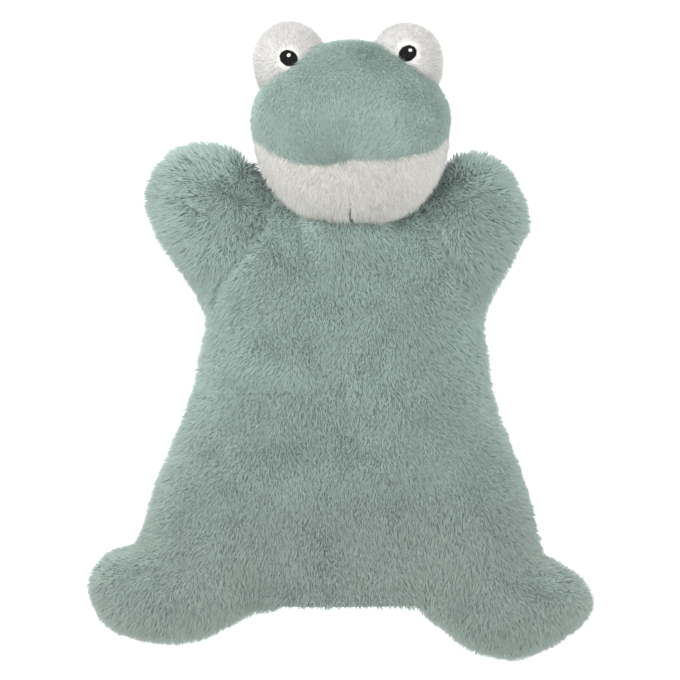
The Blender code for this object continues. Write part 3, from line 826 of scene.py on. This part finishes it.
def limb_nap(limb, hinges, share):
    """A nap that turns from downwards to out along the limb towards its tip."""
    start, _, out = hinges[limb]

    def nap(place):
        far = (place - start) @ out
        turned = smoothstep(-5 * MM, 30 * MM, far)[:, None] * share
        return body_nap(place) * (1 - turned) + out * turned

    return nap


def face_nap(place):
    """The face's pile runs down to the notch in the middle of the mouth, like a fan."""
    lean = unit(MOUTH_NOTCH - place)
    lean[:, 2] -= 0.25
    return lean


def eye_nap(limb):
    """A nap that runs away from the eye's front."""
    middle = np.array(EYE_PLACES[limb]) * MM

    def nap(place):
        lean = place - middle
        lean[:, 1] = 0.3 * EYE_RADIUS[limb]
        return lean

    return nap


# Pieces


def cover(name, grid, cloth, coat, nap, keep, material, seed, replaces, place):
    """A cover of cloth and its pile. place is called on each of its pieces."""
    skin = sheet_object(name, grid, cloth)
    for piece in (skin, *pile(f"{name}_pile", grid, coat, nap, keep, material, seed)):
        place(piece)
    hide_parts(*replaces)


def bending(low_body, high_body, start, end):
    """Bakes a piece's place into its mesh, without bending it; the two bodies and the two points are not used."""
    return lambda piece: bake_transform(piece)


def riding(body):
    """Puts a piece on one body."""
    return lambda piece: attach(piece, body)


def make_body():
    """The body from the hem to the chest."""
    middle = np.array((0, 0, 45 * MM))
    bend = bending("skirt", "chest", *WAIST_BEND)
    for word, side in (("front", -1), ("back", 1)):
        replaced = [f"skirt_{word}_panel"] + (["waist_fold"] if side < 0 else [])
        grid = facing_out(lower_sheet(side), middle)
        cover(
            f"body_{word}", grid, SAGE_CLOTH, COATS[side], body_nap, everywhere, SAGE_PILE, 11 + side,
            replaced, bend,
        )


def make_chest_and_arms():
    """Each half of the chest in one with its arm."""
    for limb in ("left", "right"):
        place, _, out = ARM_HINGES[limb]
        bend = bending("chest", f"arm_{limb}", place - SHOULDER_BEND * out, place + SHOULDER_BEND * out)
        nap = limb_nap(limb, ARM_HINGES, 0.55)
        for word, side in (("front", -1), ("back", 1)):
            replaced = [f"arm_{limb}_{word}_panel"]
            if side < 0:
                replaced += [f"shoulder_{limb}_fold"]
            if limb == "left":
                replaced += [f"chest_{word}_panel"] + (["neck_fold"] if side < 0 else [])
            middle = np.array((np.sign(place[0]) * 40 * MM, 0, 140 * MM))
            grid = facing_out(upper_sheet(limb, side), middle)
            cover(
                f"chest_{limb}_{word}", grid, SAGE_CLOTH, COATS[side], nap, clear_of_head, SAGE_PILE,
                23 + side, replaced, bend,
            )


def make_feet():
    """Each foot with the part of the hip that it bends from."""
    for limb in ("left", "right"):
        place, _, out = FOOT_HINGES[limb]
        bend = bending("skirt", f"foot_{limb}", place - FOOT_CUT * out, place + FOOT_CUT * out)
        nap = limb_nap(limb, FOOT_HINGES, 0.75)
        for word, side in (("front", -1), ("back", 1)):
            replaced = [f"foot_{limb}_{word}_panel"] + ([f"hip_{limb}_fold"] if side < 0 else [])
            grid = facing_out(foot_sheet(limb, side), place + 0.01 * out)
            cover(
                f"foot_{limb}_{word}", grid, SAGE_CLOTH, COATS[side], nap, everywhere, SAGE_PILE,
                31 + side, replaced, bend,
            )


def make_head():
    """The green face, the white chin and the green back of the head."""
    ride = riding("head")
    sheets = (face_sheet(), chin_sheet(), back_sheet())
    face, chin, back = (facing_out(grid, HEAD_CENTRE) for grid in sheets)
    cover(
        "face", face, SAGE_CLOTH, FACE_COAT, face_nap, everywhere, SAGE_PILE, 41, ["face_panel"], ride
    )
    cover(
        "chin", chin, WHITE_CLOTH, CHIN_COAT, chin_nap, clear_of_seam, WHITE_PILE, 43,
        ["chin_left_panel", "chin_right_panel"], ride,
    )
    cover(
        "head_back", back, SAGE_CLOTH, {**FACE_COAT, "per_mm2": 4.0}, back_nap, everywhere, SAGE_PILE, 47,
        ["head_back_left_panel", "head_back_right_panel"], ride,
    )


def clear_of_pupil(limb):
    """An eye's pile stays clear of its pupil, and of what lies inside the head."""
    x, z = np.array(PUPIL_PLACES[limb]) * MM

    def keep(place):
        near = np.hypot(place[:, 0] - x, place[:, 2] - z) < PUPIL_RADIUS - 0.1 * MM
        return np.where((near & (place[:, 1] < 0)) | inside_head(place, 0), 0.0, 1.0)

    return keep


def make_eyes():
    """The white eyes, with no pile over their pupils."""
    for limb in ("left", "right"):
        grid = facing_out(eye_sheet(limb), np.array(EYE_PLACES[limb]) * MM)
        cover(
            f"eye_{limb}", grid, WHITE_CLOTH, EYE_COAT, eye_nap(limb), clear_of_pupil(limb), SHADED_EYE_PILE, 53,
            [f"eye_{limb}_cover"], riding("head"),
        )


def thread_mesh(name, lines, normals, radius, material):
    """Threads as one mesh: six-sided tubes round lines of points (threads, points, 3), each tapering to
    its ends by sqrt(1 - 0.94 t^6) and closed there."""
    count, steps = lines.shape[:2]
    way = unit(np.gradient(lines, axis=1))
    side = unit(np.cross(way, normals))
    up = np.cross(side, way)
    t = np.linspace(-1, 1, steps)
    size = (radius * np.sqrt(1 - 0.94 * t**6))[None, :, None]
    turns = np.arange(6) * np.pi / 3
    rings = [lines + (side * np.cos(turn) + up * np.sin(turn)) * size for turn in turns]
    points = np.stack(rings, axis=2).reshape(-1, 3)
    index = np.arange(count * steps * 6).reshape(count, steps, 6)
    near, far = index[:, :-1], index[:, 1:]
    after = np.roll(index, -1, axis=2)
    quads = np.stack([near, after[:, :-1], after[:, 1:], far], axis=3).reshape(-1, 4)
    caps = [index[:, 0, [0, 3, 2, 1]], index[:, 0, [0, 5, 4, 3]], index[:, -1, :4]]
    caps.append(index[:, -1, [0, 3, 4, 5]])
    return mesh_object(name, points, np.concatenate([quads, *caps]), material)


def eye_front(limb, x, z, rise):
    """The y of an eye's front at x and z, and rise above it."""
    middle = np.array(EYE_PLACES[limb]) * MM
    reach = (EYE_RADIUS[limb] + rise) ** 2 - (x - middle[0]) ** 2 - ((z - middle[2]) / EYE_TALL) ** 2
    return middle[1] - EYE_DEEP * np.sqrt(np.maximum(reach, 0))


def satin_stitch(name, limb, place, half, lean, threads, rise, radius, material, node):
    """An embroidered oval: threads side by side over it, each bowed up from the eye between its two ends."""
    turn = np.radians(lean)
    offset = (np.arange(threads) + 0.5) / threads * 2 - 1
    rng = np.random.default_rng(threads)
    long_ = np.sqrt(1 - offset**2) * (1 + rng.uniform(-0.03, 0.05, threads))
    t = np.linspace(-1, 1, 11)
    across = (offset[:, None] + 0 * t) * half[1]
    along = long_[:, None] * t * half[0]
    x = place[0] + along * np.cos(turn) - across * np.sin(turn)
    z = place[1] + along * np.sin(turn) + across * np.cos(turn)
    bow = rise * (1 - np.abs(t) ** 5) + rng.uniform(-0.04, 0.04, (threads, 1)) * MM
    lines = np.stack([x, eye_front(limb, x, z, bow), z], axis=2)
    normals = np.broadcast_to((0.0, -1.0, 0.0), lines.shape)
    obj = thread_mesh(name, lines, normals, radius, material)
    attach(obj, "head")
    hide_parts(node)


def make_pupils():
    """The pupils' black stitches, and over them the white stitches of a glint."""
    for limb in ("left", "right"):
        place = np.array(PUPIL_PLACES[limb]) * MM
        half = (PUPIL_RADIUS - STITCH_MARGIN,) * 2
        satin_stitch(
            f"pupil_{limb}_stitches", limb, place, half, PUPIL_LEAN[limb], 17, 1.5 * MM, 0.31 * MM,
            BLACK_THREAD, f"pupil_{limb}",
        )
        x, z, long_, wide, lean = GLINTS[limb]
        satin_stitch(
            f"glint_{limb}_stitches", limb, np.array((x, z)) * MM, (long_ * MM, wide * MM), lean, 4,
            2.0 * MM, 0.19 * MM, WHITE_THREAD, f"pupil_glint_{limb}",
        )


def make_chin_seam():
    """The seam up the middle of the chin, drawn in with a thick thread: its points lie on the head's skin."""
    down = np.radians(np.linspace(165, 112, 400))
    x = (CHIN_SEAM_X - HEAD_CENTRE[0]) / HEAD_HALF[0]
    ways = np.stack([np.full(400, x), -np.sin(down), np.cos(down)], axis=1)
    points = head_surface(unit(ways))
    points = even(points[points[:, 2] < CHIN_SEAM_TOP], 24)
    points[:, 0] = CHIN_SEAM_X
    lines = points[None] + np.array((0, -0.9, -0.7)) * MM
    normals = np.broadcast_to((1.0, 0.0, 0.0), lines.shape)
    obj = thread_mesh("chin_seam", lines, normals, 0.55 * MM, SEAM_THREAD)
    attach(obj, "head")


def lining_sheet(side):
    """The lining of the body's hand room: the body's sheet, drawn in from its sides and its thickness."""
    z = np.linspace(9.5 * MM, 150 * MM, 60)
    across = closing_in(60, -1)
    half = np.interp(z, *LINING_HALF)[:, None]
    x = (across[None] * half) + 0 * z[:, None]
    grid_z = np.broadcast_to(z[:, None], x.shape)
    depth = np.interp(z, *LINING_DEPTH)[:, None] * np.sqrt(np.maximum(1 - (x / half) ** 2, 0)) ** 0.7
    wrinkle = (noise(np.stack([x, 0 * x + side, 0.4 * grid_z], 2).reshape(-1, 3), 9 * MM, 61) - 0.5)
    depth = depth + wrinkle.reshape(x.shape) * 1.0 * MM * (depth > 4 * MM)
    return np.stack([x, side * depth, grid_z], axis=2)


def make_linings():
    """The lining of the hand room."""
    bend = bending("skirt", "chest", *WAIST_BEND)
    for word, side in (("front", -1), ("back", 1)):
        grid = facing_out(lining_sheet(side), np.array((0, 0, 80 * MM)))
        obj = sheet_object(f"lining_{word}", grid, LINING_CLOTH, 0.6 * MM)
        bend(obj)
        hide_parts(f"skirt_{word}_lining", f"chest_{word}_lining")


def pocket_sheet(limb):
    """A finger pocket: oval rings out along its arm that close over the fingertip by sqrt(1 - t^3)."""
    place, along, out = ARM_HINGES[limb]
    middle, mouth, tip = np.array(POCKETS[limb]) * MM
    t = np.linspace(0, 1, 30)[:, None, None]
    turn = np.linspace(0, 2 * np.pi, 49)[None, :, None]
    size = np.sqrt(1 - t**3)
    centre = place + along * middle + out * (mouth + (tip - mouth) * t)
    wide, deep = POCKET_HALF
    return centre + size * (along * np.cos(turn) * wide + np.array((0, deep, 0)) * np.sin(turn))


def make_pockets():
    """The pocket in each mitt that takes a finger."""
    for limb in ("left", "right"):
        place, along, out = ARM_HINGES[limb]
        across, mouth, _ = POCKETS[limb]
        middle = place + (along * across + out * mouth) * MM
        grid = facing_out(pocket_sheet(limb), middle)
        obj = sheet_object(f"pocket_{limb}", grid, LINING_CLOTH, 0.5 * MM)
        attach(obj, f"arm_{limb}")
        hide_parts(f"arm_{limb}_finger_pocket")


def make_hem():
    """The plush turned up inside the mouth: from the skin's lower edge, round a small roll and up inside."""
    path_in = np.array((0.0, 0.5, 1.6, 2.6, 3.0, 3.1, 3.2)) * MM
    path_z = np.array((-0.3, -1.3, -1.6, -1.0, 0.4, 5.0, 9.5)) * MM
    x = closing_in(90, -1) * HEM_HALF + HEM_MIDDLE
    for word, side in (("front", -1), ("back", 1)):
        depth = half_thickness(x[None], np.full((1, 90), 0.2 * MM), side)[0]
        y = side * np.maximum(depth[None] - path_in[:, None], 0.3 * MM)
        grid = np.stack([np.broadcast_to(x, y.shape), y, np.broadcast_to(path_z[:, None], y.shape)], axis=2)
        obj = sheet_object(f"hem_{word}", grid, SAGE_CLOTH, 0.8 * MM)
        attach(obj, "skirt")
        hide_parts(f"hem_{word}_facing")


def finish_nodes():
    """The kept nodes' materials by their slots."""
    looks = {
        "sage_plush": SAGE_CLOTH, "white_plush": WHITE_CLOTH, "knit_lining": LINING_CLOTH,
        "stuffing": STUFFING, "black_thread": BLACK_THREAD, "white_thread": WHITE_THREAD,
    }
    slots = {row["node"]: row["material_slot"] for row in frame["record"]["subparts"]}
    for name, obj in frame["nodes"].items():
        obj.data.materials.clear()
        obj.data.materials.append(looks[slots[name]])


# Stage


def make_camera():
    """Level with the puppet's middle and straight in front of it, from far enough to look flat."""
    wide, away, plane, sensor = 285.6 * MM, 1.9, -12 * MM, 36.0
    data = bpy.data.cameras.new("camera")
    data.sensor_width = sensor
    data.lens = sensor * away / wide
    obj = bpy.data.objects.new("camera", data)
    obj.location = (-0.84 * MM, plane - away, 110.4 * MM)
    obj.rotation_euler = (np.pi / 2, 0, 0)
    bpy.context.scene.collection.objects.link(obj)
    bpy.context.scene.camera = obj


def area_light(name, place, target, size, power):
    """A square light at its place, turned to its target."""
    data = bpy.data.lights.new(name, "AREA")
    data.size = size
    data.energy = power
    obj = bpy.data.objects.new(name, data)
    obj.location = place
    way = np.array(target) - np.array(place)
    obj.rotation_euler = Vector(way).to_track_quat("-Z", "Y").to_euler()
    bpy.context.scene.collection.objects.link(obj)


def make_stage():
    """White all round, a large light from the left, a weaker one from the right, a pale floor."""
    bpy.context.scene.view_settings.view_transform = "Standard"
    world = bpy.data.worlds.new("studio")
    bpy.context.scene.world = world
    world.use_nodes = True
    sky = world.node_tree.nodes["Background"]
    sky.inputs["Color"].default_value = (1, 1, 1, 1)
    sky.inputs["Strength"].default_value = 1.6
    middle = (0, 0, 0.12)
    area_light("key", (-0.9, -1.5, 0.7), middle, 0.9, 13.0)
    area_light("fill", (1.2, -1.4, 0.3), middle, 1.2, 2.4)
    bpy.ops.mesh.primitive_circle_add(vertices=96, radius=2.0, fill_type="NGON", location=(0, 0, -0.36))
    floor = bpy.context.object
    floor.name = "floor"
    paper, _, shader = new_material("pale_floor", 0.9, 0.0)
    shader.inputs["Base Color"].default_value = (0.88, 0.88, 0.87, 1)
    floor.data.materials.append(paper)


make_camera()
make_stage()
finish_nodes()
make_body()
make_chest_and_arms()
make_feet()
make_head()
make_eyes()
make_pupils()
make_chin_seam()
make_linings()
make_pockets()
make_hem()
